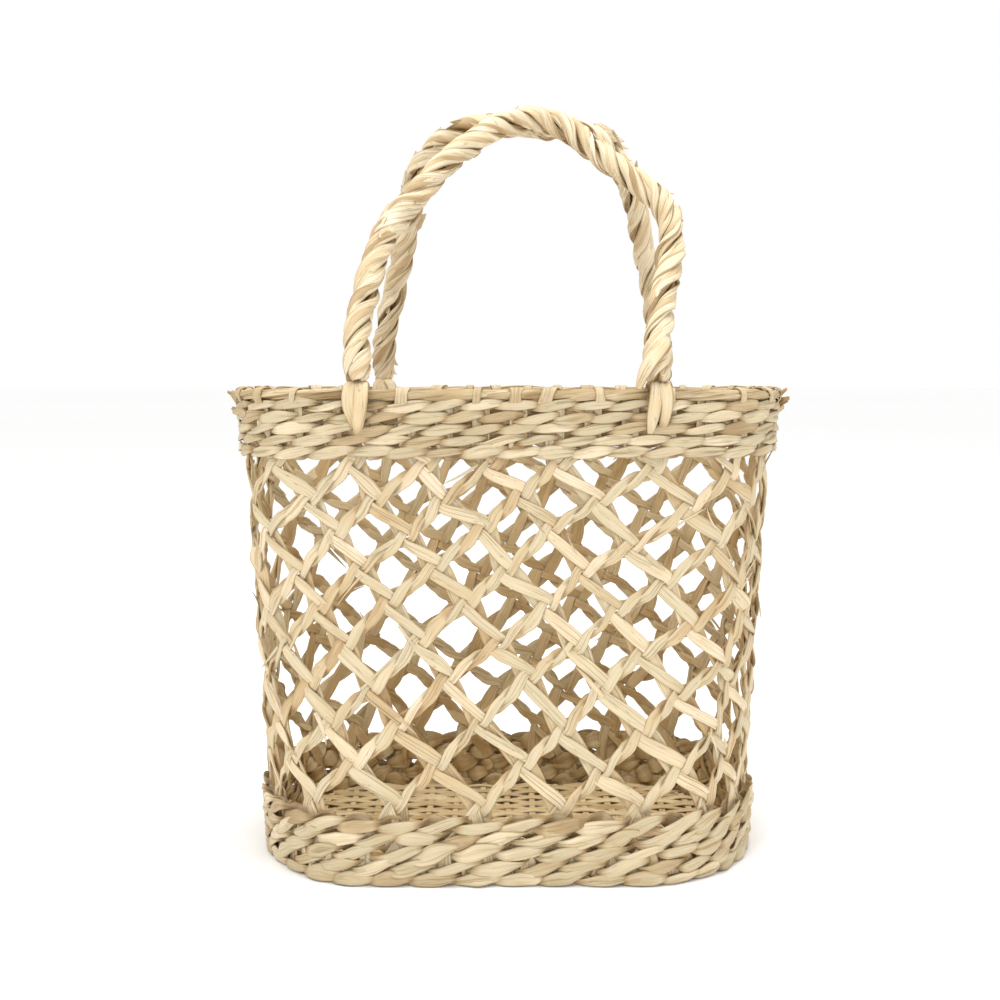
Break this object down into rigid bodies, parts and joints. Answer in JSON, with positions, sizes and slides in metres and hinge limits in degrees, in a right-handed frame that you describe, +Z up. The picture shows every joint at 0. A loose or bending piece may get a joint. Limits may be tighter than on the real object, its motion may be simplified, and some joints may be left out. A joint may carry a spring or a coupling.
{
  "type": "seagrass basket",
  "caption": "Small open-weave seagrass tote basket: oval-ended body of crossed stakes between twined base and rim bands, woven floor, two twisted rope handles that swing.",
  "frame": {"origin": "on the ground under the middle of the floor", "axes": "+Z up, +X to the right along the wide side as seen from the front, the front faces -Y"},
  "size_m": [0.273, 0.1394, 0.3753],
  "materials": {
    "stake_blade": "dry split seagrass blade, satin with lengthwise creases",
    "twined_row": "pair-twined seagrass blades, satin",
    "folded_border": "bundled seagrass wrapped by folded stakes, warm tan",
    "woven_floor": "fine woven seagrass mat, matt",
    "twisted_rope": "three-strand twisted seagrass rope, satin",
    "rope_end": "flattened rope strands tucked into the rim, satin"
  },
  "bodies": {
    "basket": {"floor_mat": "woven_floor", "base_row_1": "twined_row", "base_row_2": "twined_row", "base_row_3": "twined_row", "base_row_4": "twined_row", "base_row_5": "twined_row", "right_stake_01": "stake_blade", "left_stake_01": "stake_blade", "right_stake_02": "stake_blade", "left_stake_02": "stake_blade", "right_stake_03": "stake_blade", "left_stake_03": "stake_blade", "right_stake_04": "stake_blade", "left_stake_04": "stake_blade", "right_stake_05": "stake_blade", "left_stake_05": "stake_blade", "right_stake_06": "stake_blade", "left_stake_06": "stake_blade", "right_stake_07": "stake_blade", "left_stake_07": "stake_blade", "right_stake_08": "stake_blade", "left_stake_08": "stake_blade", "right_stake_09": "stake_blade", "left_stake_09": "stake_blade", "right_stake_10": "stake_blade", "left_stake_10": "stake_blade", "right_stake_11": "stake_blade", "left_stake_11": "stake_blade", "right_stake_12": "stake_blade", "left_stake_12": "stake_blade", "right_stake_13": "stake_blade", "left_stake_13": "stake_blade", "right_stake_14": "stake_blade", "left_stake_14": "stake_blade", "right_stake_15": "stake_blade", "left_stake_15": "stake_blade", "right_stake_16": "stake_blade", "left_stake_16": "stake_blade", "right_stake_17": "stake_blade", "left_stake_17": "stake_blade", "right_stake_18": "stake_blade", "left_stake_18": "stake_blade", "right_stake_19": "stake_blade", "left_stake_19": "stake_blade", "right_stake_20": "stake_blade", "left_stake_20": "stake_blade", "rim_row_1": "twined_row", "rim_row_2": "twined_row", "rim_row_3": "twined_row", "rim_row_4": "twined_row", "rim_row_5": "twined_row", "rim_border": "folded_border", "front_left_lashing": "rope_end", "front_right_lashing": "rope_end", "back_left_lashing": "rope_end", "back_right_lashing": "rope_end"},
    "front_handle": {"front_handle": "twisted_rope"},
    "back_handle": {"back_handle": "twisted_rope"}
  },
  "joints": [
    {"name": "front_handle_swing", "type": "hinge", "parent": "basket", "child": "front_handle", "pos_m": [0, -0.0623, 0.24075], "axis": [1, 0, 0], "range_deg": [0, 110]},
    {"name": "back_handle_swing", "type": "hinge", "parent": "basket", "child": "back_handle", "pos_m": [0, 0.0623, 0.24075], "axis": [-1, 0, 0], "range_deg": [0, 110]}
  ]
}
